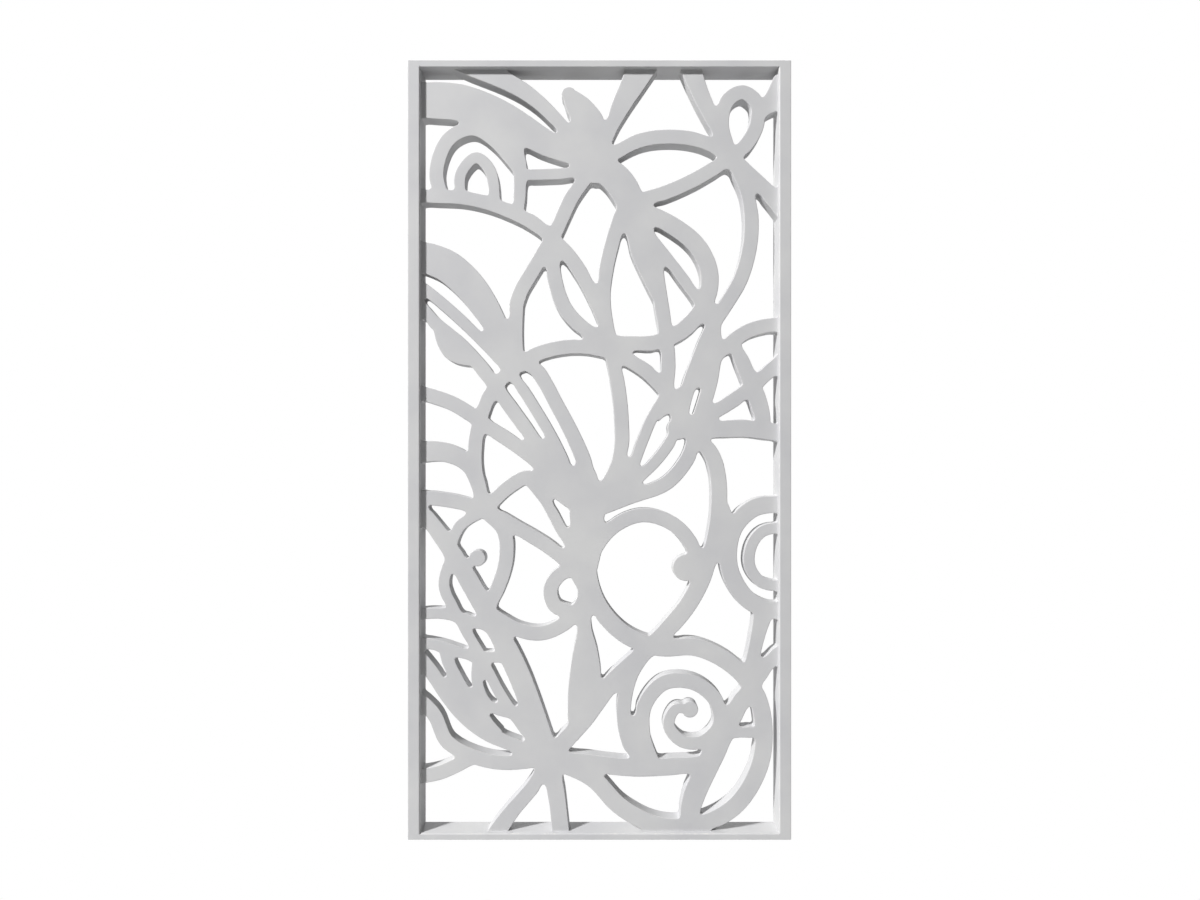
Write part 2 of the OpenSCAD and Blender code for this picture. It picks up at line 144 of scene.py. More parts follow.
def facing(tree):
    """The size of the normal's y part: 1 on front and back faces, 0 on cut walls."""
    normal = add(tree, "ShaderNodeNewGeometry").outputs["Normal"]
    size = add(tree, "ShaderNodeVectorMath", {0: normal}, operation="ABSOLUTE")
    parts = add(tree, "ShaderNodeSeparateXYZ", {"Vector": size.outputs["Vector"]})
    return parts.outputs["Y"]


def paint_colour(tree, place, lean):
    drift = add(tree, "ShaderNodeTexNoise", {"Vector": place, "Scale": 1 / CLOUD,
                                             "Detail": 3})
    cloud = add(tree, "ShaderNodeMapRange", {"Value": drift.outputs["Fac"], **NOISE_SPAN})
    tint = add(tree, "ShaderNodeMix", {"Factor": cloud.outputs["Result"],
                                       "A": linear(PAINT_DEEP), "B": linear(PAINT)},
               data_type="RGBA")
    rises = add(tree, "ShaderNodeMapRange", {"Value": lean, "From Min": 0.15,
                                             "From Max": 0.5},
                interpolation_type="SMOOTHSTEP")
    falls = add(tree, "ShaderNodeMapRange", {"Value": lean, "From Min": 0.97,
                                             "From Max": 0.8},
                interpolation_type="SMOOTHSTEP")
    edge = add(tree, "ShaderNodeMath", {0: rises.outputs["Result"],
                                        1: falls.outputs["Result"]},
               operation="MULTIPLY")
    spots = add(tree, "ShaderNodeTexNoise", {"Vector": place, "Scale": 1 / RUB,
                                             "Detail": 4})
    rub = add(tree, "ShaderNodeMapRange", {"Value": spots.outputs["Fac"], "From Min": 0.5,
                                           "From Max": 0.7, "To Max": RUBBED})
    worn = add(tree, "ShaderNodeMath", {0: edge.outputs["Value"], 1: rub.outputs["Result"]},
               operation="MULTIPLY")
    return add(tree, "ShaderNodeMix", {"Factor": worn.outputs["Value"],
                                       "A": tint.outputs["Result"],
                                       "B": linear(PAINT_THIN)},
               data_type="RGBA").outputs["Result"]


print("paint", PAINT, "deep", PAINT_DEEP, "thin", PAINT_THIN)

# %% [markdown]
# ## Satin paint: its surface
# Sprayed paint is never mirror smooth. It dries with a faint orange peel, about two
# millimetres from dimple to dimple, so highlights are broad and soft. Over softwood bars
# the grain telegraphs through as long shallow ridges. Over fibreboard the faces stay
# flat, but the routed walls drink the paint: they dry rougher, with fine marks that the
# cutter left from front to back. All of this is small relief, so it belongs in the bump
# and the roughness and leaves the colour alone.

# %% Orange peel, grain and cutter marks
ORANGE_PEEL = 2.2 * MM
PEEL_DEPTH = 0.06 * MM
GRAIN_WIDTH = 1.6 * MM
GRAIN_DRAWN_OUT = 40                # a ridge is this many times longer than wide
GRAIN_DEPTH = 0.08 * MM
CUTTER_MARK = 1.4 * MM
CUTTER_DRAWN_OUT = 12
CUTTER_DEPTH = 0.12 * MM
SATIN = {"To Min": 0.5, "To Max": 0.58}             # roughness of the coat
THIRSTY = 0.14                      # how much rougher the paint dries on a routed wall


def paint_surface(tree, place, lean, grain, routed):
    """Bump and roughness. grain is the axis, 0 to 2, that the wood under it runs along."""
    peel = add(tree, "ShaderNodeTexNoise", {"Vector": place, "Scale": 1 / ORANGE_PEEL,
                                            "Detail": 1})
    bump = add(tree, "ShaderNodeBump", {"Height": peel.outputs["Fac"], "Strength": 0.35,
                                        "Distance": PEEL_DEPTH})
    sheen = add(tree, "ShaderNodeMapRange", {"Value": peel.outputs["Fac"], **NOISE_SPAN,
                                             **SATIN})
    rough = sheen.outputs["Result"]
    if grain is not None:
        stretch = [1 / GRAIN_DRAWN_OUT if axis == grain else 1 for axis in range(3)]
        along = add(tree, "ShaderNodeMapping", {"Vector": place, "Scale": stretch})
        ridges = add(tree, "ShaderNodeTexNoise", {"Vector": along.outputs["Vector"],
                                                  "Scale": 1 / GRAIN_WIDTH, "Detail": 3})
        bump = add(tree, "ShaderNodeBump", {
            "Height": ridges.outputs["Fac"], "Strength": 0.5, "Distance": GRAIN_DEPTH,
            "Normal": bump.outputs["Normal"]})
    if routed:
        wall = add(tree, "ShaderNodeMapRange", {"Value": lean, "From Min": 0.3,
                                                "From Max": 0.05})
        across = add(tree, "ShaderNodeMapping", {"Vector": place,
                                                 "Scale": (1, 1 / CUTTER_DRAWN_OUT, 1)})
        marks = add(tree, "ShaderNodeTexNoise", {"Vector": across.outputs["Vector"],
                                                 "Scale": 1 / CUTTER_MARK, "Detail": 2})
        cut = add(tree, "ShaderNodeMath", {0: marks.outputs["Fac"],
                                           1: wall.outputs["Result"]},
                  operation="MULTIPLY")
        bump = add(tree, "ShaderNodeBump", {
            "Height": cut.outputs["Value"], "Strength": 0.6, "Distance": CUTTER_DEPTH,
            "Normal": bump.outputs["Normal"]})
        rough = add(tree, "ShaderNodeMath", {0: wall.outputs["Result"], 1: THIRSTY,
                                             2: rough},
                    operation="MULTIPLY_ADD").outputs["Value"]
    return bump.outputs["Normal"], rough


print("orange peel %.1f mm, grain ridges %.1f x %.0f mm, cutter marks %.1f mm"
      % (ORANGE_PEEL / MM, GRAIN_WIDTH / MM, GRAIN_WIDTH * GRAIN_DRAWN_OUT / MM,
         CUTTER_MARK / MM))

# %% Three coats of the same paint
def satin_paint(name, grain=None, routed=False):
    material, tree, place = new_material(name)
    lean = facing(tree)
    normal, rough = paint_surface(tree, place, lean, grain, routed)
    shader = add(tree, "ShaderNodeBsdfPrincipled", {
        "Base Color": paint_colour(tree, place, lean), "Roughness": rough,
        "Normal": normal, "IOR": 1.5, "Specular IOR Level": 0.3})
    add(tree, "ShaderNodeOutputMaterial", {"Surface": shader.outputs["BSDF"]})
    return material


paint_upright = satin_paint("satin_paint_on_softwood_upright", grain=2)
paint_level = satin_paint("satin_paint_on_softwood_level", grain=0)
paint_sheet = satin_paint("satin_paint_on_routed_fibreboard", routed=True)
print("paints:", paint_upright.name, paint_level.name, paint_sheet.name)

# %% [markdown]
# ## Bare metals and beech
# Brass and steel are conductors, so they are fully metallic and their colour is the
# colour of their reflection. The insert is turned on a lathe, which leaves fine rings.
# The screws are bright zinc plate, softer in sheen, and the panel pins are drawn wire.
# The dowels are beech with a straight, fine grain. They sit inside the joints, but the
# model opens up, so they are finished too.

# %% Brass, zinc plate and steel wire
TOOL_MARK_DEPTH = 0.03 * MM
DULLER = 0.12                       # how much rougher a mark is than the metal round it


def bare_metal(name, colour, darker, roughness, mark, marks_along):
    """marks_along draws the marks out along x, y and z."""
    material, tree, place = new_material(name)
    along = add(tree, "ShaderNodeMapping", {"Vector": place,
                                            "Scale": [1 / m for m in marks_along]})
    marks = add(tree, "ShaderNodeTexNoise", {"Vector": along.outputs["Vector"],
                                             "Scale": 1 / mark,
                                             "Detail": 3}).outputs["Fac"]
    tint = add(tree, "ShaderNodeMix", {"Factor": marks, "A": linear(darker),
                                       "B": linear(colour)}, data_type="RGBA")
    sheen = add(tree, "ShaderNodeMapRange", {"Value": marks, **NOISE_SPAN,
                                             "To Min": roughness,
                                             "To Max": roughness + DULLER})
    bump = add(tree, "ShaderNodeBump", {"Height": marks, "Strength": 0.3,
                                        "Distance": TOOL_MARK_DEPTH})
    shader = add(tree, "ShaderNodeBsdfPrincipled", {
        "Base Color": tint.outputs["Result"], "Roughness": sheen.outputs["Result"],
        "Normal": bump.outputs["Normal"], "Metallic": 1.0})
    add(tree, "ShaderNodeOutputMaterial", {"Surface": shader.outputs["BSDF"]})
    return material


brass = bare_metal("turned_brass", "#D8B868", "#B08E45", 0.28, 0.5 * MM, (8, 8, 1))
zinc = bare_metal("bright_zinc_plate", "#C4C8CC", "#A3A9B0", 0.26, 1.5 * MM, (1, 1, 1))
steel = bare_metal("drawn_steel_wire", "#B9BBBE", "#8E9196", 0.32, 0.4 * MM, (12, 1, 1))
print("bare metals:", brass.name, zinc.name, steel.name)

# %% Beech
BEECH_GRAIN = 0.8 * MM
BEECH_DRAWN_OUT = 30
BEECH_DEPTH = 0.1 * MM


def beech_wood(name):
    material, tree, place = new_material(name)
    along = add(tree, "ShaderNodeMapping", {"Vector": place,
                                            "Scale": (1 / BEECH_DRAWN_OUT, 1, 1)})
    grain = add(tree, "ShaderNodeTexNoise", {"Vector": along.outputs["Vector"],
                                             "Scale": 1 / BEECH_GRAIN, "Detail": 4})
    bands = add(tree, "ShaderNodeMapRange", {"Value": grain.outputs["Fac"], **NOISE_SPAN})
    tint = add(tree, "ShaderNodeMix", {"Factor": bands.outputs["Result"],
                                       "A": linear("#B98F62"), "B": linear("#D9B88A")},
               data_type="RGBA")
    bump = add(tree, "ShaderNodeBump", {"Height": grain.outputs["Fac"], "Strength": 0.4,
                                        "Distance": BEECH_DEPTH})
    shader = add(tree, "ShaderNodeBsdfPrincipled", {
        "Base Color": tint.outputs["Result"], "Normal": bump.outputs["Normal"],
        "Roughness": 0.6, "IOR": 1.5})
    add(tree, "ShaderNodeOutputMaterial", {"Surface": shader.outputs["BSDF"]})
    return material


beech = beech_wood("beech_dowel")
print("dowels:", beech.name)

# %% [markdown]
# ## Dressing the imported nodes
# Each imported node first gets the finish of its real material: the bars by name, because
# their grain runs along them, and the hardware by the ending of its name. A node that
# no finer piece replaces keeps this finish in the picture: the dowels and the sleeves of
# the inserts.

# %% Give every node its finish
BARS = {"left_stile": paint_upright, "right_stile": paint_upright,
        "top_rail": paint_level, "bottom_rail": paint_level,
        "left_bead": paint_upright, "right_bead": paint_upright}
FINISHES = dict(BARS, fretwork_panel=paint_sheet)
ENDINGS = {"_dowels": beech, "_pins": steel, "_screws": zinc, "_insert": brass}

for name, node in frame["nodes"].items():
    ending = next((e for e in ENDINGS if name.endswith(e)), None)
    node.data.materials.clear()
    node.data.materials.append(ENDINGS[ending] if ending else FINISHES[name])
print(len(frame["nodes"]), "nodes dressed")

# %% [markdown]
# ## Pieces that stand in for a node
# Where a node's plain shape isn't enough, a finer piece replaces it. Each such piece ends
# the same way, so one function hands it over: it gets its material, moves with the body,
# and the node that it stands for is hidden. Shading is smoothed, but the flats keep their
# own normals, so that only the small rounds between them catch the light. On a bar every
# flat is square to the axes, which makes it easy to recognise. On the sheet, the Weighted
# Normal modifier does as well.

# %% Handing a piece over
SHADE_SHARP = math.radians(50)
SQUARE = 0.9999                     # a normal with a part this large lies along an axis


def finish_piece(obj, material, node):
    """Gives a piece its material and its body, and hides the node it stands for."""
    obj.data.materials.clear()
    obj.data.materials.append(material)
    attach(obj, "root")
    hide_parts(node)


def new_object(name, data):
    obj = bpy.data.objects.new(name, data)
    bpy.context.scene.collection.objects.link(obj)
    return obj


def as_plain_mesh(obj):
    """The object with its modifiers applied, as a mesh of its own."""
    depsgraph = bpy.context.evaluated_depsgraph_get()
    return bpy.data.meshes.new_from_object(obj.evaluated_get(depsgraph))


def weigh_normals(obj):
    """Smooths the shading, and lets the largest face round a corner rule there."""
    obj.data.shade_smooth()
    obj.data.set_sharp_from_angle(angle=SHADE_SHARP)
    modifier = obj.modifiers.new("flats", "WEIGHTED_NORMAL")
    modifier.keep_sharp = True
    mesh = as_plain_mesh(obj)
    obj.modifiers.clear()
    obj.data = mesh


def hold_flats(obj):
    """Smooths the shading, except that beside a flat it takes the flat's own normal."""
    mesh = obj.data
    mesh.shade_smooth()
    flats, rounds = {}, {}
    for face in mesh.polygons:
        is_flat = max(abs(part) for part in face.normal) > SQUARE
        for vert in face.vertices:
            if is_flat:
                flats.setdefault(vert, []).append(face.normal.copy())
            else:
                rounds[vert] = rounds.get(vert, Vector()) + face.normal * face.area
    normals = []
    for face in mesh.polygons:
        for vert in face.vertices:
            choices = flats.get(vert, []) + [rounds.get(vert, face.normal).normalized()]
            close = [n for n in choices if n.dot(face.normal) > math.cos(SHADE_SHARP)]
            normals.append(close[0] if close else face.normal)
    mesh.normals_split_custom_set(normals)


print("edges shade as sharp above %.0f degrees" % math.degrees(SHADE_SHARP))

# %% [markdown]
# ## Eased edges on the bars
# A joiner takes the sharpness off every long edge before painting, because paint creeps
# away from a sharp corner. The edges round the opening are rounded a little more, and the
# photograph shows them as a narrow lit or shaded band. A bevel modifier would also round
# the joints and the mouths of the hidden bores. Picking the edges in mesh code keeps
# those as they are. A side bar's inner edge is eased only between the rails, because
# beyond them the two bars meet flush.

# %% Pick and round the long edges
EASE = 1.1 * MM
EASE_ROUND_OPENING = 2.4 * MM
LONG_EDGE = 6 * MM                  # shorter edges belong to bores
SHARP = math.radians(60)            # an edge that turns less is left as it is
EASE_STEPS = 3
TOUCH = 0.1 * MM                    # places this close count as the same


def near(a, b):
    return abs(a - b) < TOUCH


def round_opening(place):
    """True for the middle of an edge that frames the opening on the front."""
    side = near(abs(place.x), open_x) and open_low < place.z < open_high
    return near(place.y, front_y) and (side or near(place.z, open_low)
                                       or near(place.z, open_high))


def kept_sharp(place):
    """True where a rail meets a side bar, and where the sheet or a bead bears on a bar."""
    in_joint = near(abs(place.x), open_x) and not open_low < place.z < open_high
    return in_joint or near(place.y, sheet_low.y)


def bevel_edges(work, wanted, width):
    edges = [e for e in work.edges
             if len(e.link_faces) == 2 and e.calc_length() > LONG_EDGE
             and e.calc_face_angle_signed() > SHARP
             and wanted((e.verts[0].co + e.verts[1].co) / 2)]
    bmesh.ops.bevel(work, geom=edges, offset=width, segments=EASE_STEPS, profile=0.5,
                    affect="EDGES", clamp_overlap=False)


def eased_copy(node, width):
    work = bmesh.new()
    work.from_mesh(frame["nodes"][node].data)
    bmesh.ops.remove_doubles(work, verts=work.verts, dist=WELD)
    bmesh.ops.dissolve_limit(work, angle_limit=math.radians(1), verts=work.verts,
                             edges=work.edges)
    for z in (open_low, open_high):
        bmesh.ops.bisect_plane(work, geom=work.verts[:] + work.edges[:] + work.faces[:],
                               plane_co=(0, 0, z), plane_no=(0, 0, 1))
    bevel_edges(work, lambda place: not (kept_sharp(place) or round_opening(place)), width)
    bevel_edges(work, round_opening, EASE_ROUND_OPENING)
    mesh = bpy.data.meshes.new(node + "_eased")
    work.to_mesh(mesh)
    work.free()
    obj = new_object(node + "_eased", mesh)
    hold_flats(obj)
    return obj


for bar, finish in BARS.items():
    eased = eased_copy(bar, EASE / 2 if bar.endswith("_bead") else EASE)
    finish_piece(eased, finish, bar)
    print(eased.name, len(eased.data.polygons), "faces")

# %% [markdown]
# ## The routed sheet: its outline
# A router cuts the scrollwork out of one board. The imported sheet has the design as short
# straight facets. Its outline is read off that node, so the sheet stays exactly where the
# construction has it. Every flat triangle on the front face runs round its three sides in
# the same sense, and a side that only one flat triangle uses is part of the outline.
# Following those sides in their own sense closes each loop, with the board always on
# the left. That makes a left turn a real corner of the board and a right turn a crotch
# between two stems.

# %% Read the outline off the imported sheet
LEAST_STEP = 0.8 * MM               # points closer than this count as one


def outline_loops(node, level):
    """The closed loops round the flat face at y = level, with the board on the left."""
    work = bmesh.new()
    work.from_mesh(frame["nodes"][node].data)
    bmesh.ops.remove_doubles(work, verts=work.verts, dist=WELD)
    places = {v.index: v.co.copy() for v in work.verts}

    def flat(face):
        return all(abs(v.co.y - level) < WELD for v in face.verts)

    onward = {}
    for face in work.faces:
        if flat(face):
            for corner in face.loops:
                if sum(flat(f) for f in corner.edge.link_faces) == 1:
                    onward.setdefault(corner.vert.index, []).append(
                        corner.link_loop_next.vert.index)
    work.free()
    loops = []
    while onward:
        here, loop = next(iter(onward)), []
        while here in onward:
            if not loop or (places[here] - loop[-1]).length > LEAST_STEP:
                loop.append(places[here])
            ways = onward[here]
            step = ways.pop()
            if not ways:
                del onward[here]
            here = step
        loops.append(loop)
    return loops


loops = outline_loops("fretwork_panel", sheet_low.y)
print(len(loops), "loops,", sum(len(loop) for loop in loops), "points")

# %% [markdown]
# ## The routed sheet: smooth cutter curves
# A real cutter leaves flowing curves, not facets. A Bezier spline through the same points
# gives them back. At each point the curve heads between its two sides, and nearer to the
# shorter one, because the facets turn most where they are short. Its handles reach a
# third of the way along each side, or less beside a very short one. Real corners keep the
# direction of their own two sides, and so do the straight edges inside the side bars.
# Where a stem meets a rail, paint bridges the joint, so its end is drawn a little into
# the rail and its rim isn't rounded in sight.

# %% Run a spline through a loop
RIM = 1.2 * MM                      # the rounding that a sanding sponge gives the rims
CORNER = math.radians(40)
REACH = 2                           # a handle is no longer than this times the side
                                    # on the other side of its point
INTO_RAIL = 2.0 * MM                # how far a stem's end is drawn into the rail


def ends_in_rail(place):
    at_end = near(place.z, sheet_low.z) or near(place.z, sheet_high.z)
    return at_end and abs(place.x) < open_x + TOUCH


def drawn_into_rail(place):
    """A point of the outline as x and z, or just inside the rail that it meets."""
    if not ends_in_rail(place):
        return Vector((place.x, place.z))
    middle_z = (sheet_low.z + sheet_high.z) / 2
    return Vector((place.x, place.z + math.copysign(INTO_RAIL, place.z - middle_z)))


def is_ruled(a, b):
    """True for a side that is straight on the real sheet: a border or a stem's end."""
    upright = near(a.x, b.x) and abs(a.x) > open_x - TOUCH
    level = near(a.y, b.y) and not sheet_low.z + TOUCH < a.y < sheet_high.z - TOUCH
    return upright or level


def add_spline(curve, points):
    """Adds one closed spline that runs smoothly through the points."""
    spline = curve.splines.new("BEZIER")
    spline.bezier_points.add(len(points) - 1)
    spline.use_cyclic_u = True
    for i, point in enumerate(spline.bezier_points):
        before, here, after = points[i - 1], points[i], points[(i + 1) % len(points)]
        came, goes = here - before, after - here
        turn = came.angle_signed(goes)          # clockwise turns count as positive
        ruled_in, ruled_out = is_ruled(before, here), is_ruled(here, after)
        head_in = head_out = (came / came.length_squared
                              + goes / goes.length_squared).normalized()
        reach_in = min(came.length / 3, REACH * goes.length)
        reach_out = min(goes.length / 3, REACH * came.length)
        if turn < -CORNER or (ruled_in and ruled_out):
            head_in, head_out = came.normalized(), goes.normalized()
        elif ruled_in:
            head_in = head_out = came.normalized()
        elif ruled_out:
            head_in = head_out = goes.normalized()
        point.co = (here.x, here.y, 0)
        point.handle_left_type = point.handle_right_type = "FREE"
        point.handle_left = (here - head_in * reach_in).to_3d()
        point.handle_right = (here + head_out * reach_out).to_3d()


print("corners are left turns over %.0f degrees" % math.degrees(CORNER))

# %% [markdown]
# ## The routed sheet: thickness and rims
# Blender's flat curves suit this piece: an outline with its holes fills itself, takes a
# thickness, and rounds both rims in one go, which gives true rounded rims that a bump
# map never could. The offset draws the outline in by the rim's width first, so that the
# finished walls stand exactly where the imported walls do.

# %% Fill, thicken and round the sheet
CURVE_WELD = 0.02 * MM              # the offset leaves some points this close together
RIM_STEPS = 2
SPLINE_STEPS = 4                    # from one point of the outline to the next


def routed_sheet(name, loops, low_y, high_y):
    """The board inside the loops, from low_y to high_y, with both its rims rounded."""
    curve = bpy.data.curves.new(name, "CURVE")
    curve.dimensions = "2D"
    curve.fill_mode = "BOTH"
    curve.extrude = (high_y - low_y) / 2 - RIM
    curve.bevel_depth = RIM
    curve.bevel_resolution = RIM_STEPS
    curve.offset = -RIM
    curve.resolution_u = SPLINE_STEPS
    for loop in loops:
        add_spline(curve, [drawn_into_rail(place) for place in loop])
    flat = new_object(name + "_curve", curve)
    mesh = as_plain_mesh(flat)
    bpy.data.objects.remove(flat)
    mesh.transform(Matrix.Rotation(math.pi / 2, 4, "X"))
    mesh.transform(Matrix.Translation((0, (low_y + high_y) / 2, 0)))
    work = bmesh.new()
    work.from_mesh(mesh)
    bmesh.ops.remove_doubles(work, verts=work.verts, dist=CURVE_WELD)
    bmesh.ops.recalc_face_normals(work, faces=work.faces)
    open_edges = sum(len(e.link_faces) != 2 for e in work.edges)
    print("volume %.0f cm3, %d open edges" % (work.calc_volume() * 1e6, open_edges))
    work.to_mesh(mesh)
    work.free()
    obj = new_object(name, mesh)
    weigh_normals(obj)
    return obj


sheet = routed_sheet("routed_scrollwork", loops, sheet_low.y, sheet_high.y)
finish_piece(sheet, paint_sheet, "fretwork_panel")
print(sheet.name, len(sheet.data.polygons), "faces")

# %% [markdown]
# ## Screws and pins
# Six countersunk screws fix the stems to the rails, and sixteen panel pins hold the beads.
# They repeat, so Geometry Nodes build one and set a copy on each point. The places and
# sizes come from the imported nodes: the loose solids of a node are its fasteners. Each
# tree ends by making the copies real and giving them their metal, because an export
# keeps no instances.

# %% Where a node's fasteners are
def solids_of(node):
    """The lowest and highest corner of each separate solid in a node."""
    work = bmesh.new()
    work.from_mesh(frame["nodes"][node].data)
    bmesh.ops.remove_doubles(work, verts=work.verts, dist=WELD)
    left, boxes = set(work.verts), []
    while left:
        reached, to_visit = set(), [left.pop()]
        while to_visit:
            vert = to_visit.pop()
            reached.add(vert)
            beyond = {edge.other_vert(vert) for edge in vert.link_edges} & left
            left -= beyond
            to_visit.extend(beyond)
        boxes.append([Vector(pick(v.co[axis] for v in reached) for axis in range(3))
                      for pick in (min, max)])
    work.free()
    return boxes


def head_places(node, axis, at_high):
    """The middle of each fastener's head, which is at the high or low end of an axis."""
    places = []
    for low, high in solids_of(node):
        place = (low + high) / 2
        place[axis] = (high if at_high else low)[axis]
        places.append(place)
    return places


screw_box = solids_of("top_rail_screws")[0]
pin_box = solids_of("right_bead_pins")[0]
SCREW_HEAD_R = (screw_box[1].x - screw_box[0].x) / 2
SCREW_LENGTH = screw_box[1].z - screw_box[0].z
PIN_R = (pin_box[1].z - pin_box[0].z) / 2
PIN_LENGTH = pin_box[1].x - pin_box[0].x
print("screws %.1f x %.0f mm, pins %.1f x %.0f mm" % (
    2 * SCREW_HEAD_R / MM, SCREW_LENGTH / MM, 2 * PIN_R / MM, PIN_LENGTH / MM))

# %% Running a tree on a set of points
def new_tree(name, sizes):
    """A Geometry Nodes tree with a named input for each size, and its two ends."""
    tree = bpy.data.node_groups.new(name, "GeometryNodeTree")
    tree.interface.new_socket("Geometry", in_out="INPUT", socket_type="NodeSocketGeometry")
    for size in sizes:
        tree.interface.new_socket(size, in_out="INPUT", socket_type="NodeSocketFloat")
    tree.interface.new_socket("Turn", in_out="INPUT", socket_type="NodeSocketVector")
    tree.interface.new_socket("Finish", in_out="INPUT", socket_type="NodeSocketMaterial")
    tree.interface.new_socket("Geometry", in_out="OUTPUT", socket_type="NodeSocketGeometry")
    return tree, add(tree, "NodeGroupInput").outputs


def set_on_points(tree, given, shape):
    """Copies a shape to every point, makes the copies real and gives them their finish."""
    smooth = add(tree, "GeometryNodeSetShadeSmooth", {"Geometry": shape,
                                                      "Shade Smooth": False})
    copies = add(tree, "GeometryNodeInstanceOnPoints", {
        "Points": given["Geometry"], "Instance": smooth.outputs["Geometry"],
        "Rotation": given["Turn"]})
    real = add(tree, "GeometryNodeRealizeInstances", {
        "Geometry": copies.outputs["Instances"]})
    dressed = add(tree, "GeometryNodeSetMaterial", {"Geometry": real.outputs["Geometry"],
                                                    "Material": given["Finish"]})
    add(tree, "NodeGroupOutput", {"Geometry": dressed.outputs["Geometry"]})


def grow(name, tree, points, values):
    """Runs a tree on a set of points and keeps the result as a plain mesh."""
    mesh = bpy.data.meshes.new(name)
    mesh.from_pydata(points, [], [])
    obj = new_object(name, mesh)
    modifier = obj.modifiers.new("build", "NODES")
    modifier.node_group = tree
    for item in tree.interface.items_tree:
        if item.in_out == "INPUT" and item.name in values:
            modifier[item.identifier] = values[item.name]
    grown = as_plain_mesh(obj)
    obj.modifiers.clear()
    obj.data = grown
    return obj


print("trees take named sizes, a turn and a finish")

# %% [markdown]
# A helix is a spiral whose radius stays the same, and a thread is a three-sided ridge
# swept along it. Wood screws and threaded inserts both need one, so it is a function.

# %% A thread
THREAD_STEPS = 20                   # in one turn


def thread(tree, radius, height, pitch, ridge):
    """A three-sided ridge that winds upwards from z = 0."""
    turns = add(tree, "ShaderNodeMath", {0: height, 1: pitch}, operation="DIVIDE")
    helix = add(tree, "GeometryNodeCurveSpiral", {
        "Resolution": THREAD_STEPS, "Rotations": turns.outputs["Value"],
        "Start Radius": radius, "End Radius": radius, "Height": height})
    section = add(tree, "GeometryNodeCurvePrimitiveCircle", {"Resolution": 3,
                                                             "Radius": ridge})
    return add(tree, "GeometryNodeCurveToMesh", {
        "Curve": helix.outputs["Curve"], "Profile Curve": section.outputs["Curve"],
        "Fill Caps": True}).outputs["Mesh"]


print("threads have", THREAD_STEPS, "steps a turn")

# %% [markdown]
# A wood screw is a cone for its head, a straight core and a point, with the thread wound
# round the core. A cross is cut into the head for the driver, and the sizes of all these
# follow the head's radius.

# %% The head of a screw
CORE = 0.36                         # these four are parts of the head's radius
RECESS_LONG = 1.1
RECESS_WIDE = 0.26
POINT = 1.5


def lowered(tree, mesh, distance):
    """Moves a mesh straight down by a distance."""
    down = add(tree, "ShaderNodeMath", {0: distance, 1: -1.0}, operation="MULTIPLY")
    where = add(tree, "ShaderNodeCombineXYZ", {"Z": down.outputs["Value"]})
    return add(tree, "GeometryNodeTransform", {
        "Geometry": mesh, "Translation": where.outputs["Vector"]}).outputs["Geometry"]


def screw_head(tree, radius, core, long, wide):
    """A cone with its top at z = 0 and a cross cut into it, one arm deeper."""
    cone = add(tree, "GeometryNodeMeshCone", {
        "Vertices": 24, "Radius Top": radius, "Radius Bottom": core, "Depth": radius})
    arms = []
    for x, y, z in ((long, wide, radius), (wide, long, long)):
        size = add(tree, "ShaderNodeCombineXYZ", {"X": x, "Y": y, "Z": z})
        arms.append(add(tree, "GeometryNodeMeshCube", {
            "Size": size.outputs["Vector"]}).outputs["Mesh"])
    return add(tree, "GeometryNodeMeshBoolean", {
        "Mesh 1": lowered(tree, cone.outputs["Mesh"], radius), "Mesh 2": tuple(arms)},
        operation="DIFFERENCE").outputs["Mesh"]


print("core %.1f mm, recess %.1f mm wide" % (2 * CORE * SCREW_HEAD_R / MM,
                                             RECESS_WIDE * SCREW_HEAD_R / MM))

# %% Countersunk wood screws
SCREW_PITCH = 1.4 * MM
SCREW_RIDGE = 0.4 * MM
SCREW_TIP_R = 0.1 * MM


def wood_screw_tree():
    tree, given = new_tree("wood_screw", ["Head Radius", "Length", "Pitch"])
    radius, length = given["Head Radius"], given["Length"]
    core, long, wide, point = [
        add(tree, "ShaderNodeMath", {0: radius, 1: part},
            operation="MULTIPLY").outputs["Value"]
        for part in (CORE, RECESS_LONG, RECESS_WIDE, POINT)]
    to_point = add(tree, "ShaderNodeMath", {0: length, 1: point},
                   operation="SUBTRACT").outputs["Value"]
    threaded = add(tree, "ShaderNodeMath", {0: to_point, 1: radius},
                   operation="SUBTRACT").outputs["Value"]
    tip = add(tree, "GeometryNodeMeshCone", {
        "Vertices": 16, "Radius Top": core, "Radius Bottom": SCREW_TIP_R, "Depth": point})
    shank = add(tree, "GeometryNodeMeshCone", {
        "Vertices": 16, "Radius Top": core, "Radius Bottom": core, "Depth": threaded})
    winding = thread(tree, core, threaded, given["Pitch"], SCREW_RIDGE)
    whole = add(tree, "GeometryNodeJoinGeometry", {"Geometry": (
        screw_head(tree, radius, core, long, wide),
        lowered(tree, tip.outputs["Mesh"], length),
        lowered(tree, shank.outputs["Mesh"], to_point),
        lowered(tree, winding, to_point))})
    set_on_points(tree, given, whole.outputs["Geometry"])
    return tree


screw_tree = wood_screw_tree()
for rail, from_top in (("top_rail", True), ("bottom_rail", False)):
    heads = head_places(rail + "_screws", 2, from_top)
    screws = grow(rail + "_wood_screws", screw_tree, heads, {
        "Head Radius": SCREW_HEAD_R, "Length": SCREW_LENGTH, "Pitch": SCREW_PITCH,
        "Turn": (0 if from_top else math.pi, 0, 0), "Finish": zinc})
    finish_piece(screws, zinc, rail + "_screws")
    print(screws.name, len(heads), "screws,", len(screws.data.polygons), "faces")

# %% [markdown]
# A panel pin is a length of wire with a small flat head, driven flush and then left
# alone. Its head is a shallow dome here, which is what a hammer leaves of it.

# %% Panel pins
PIN_HEAD = 1.5                      # the head's radius over the wire's
PIN_DOME = 0.25                     # the head's height over its radius


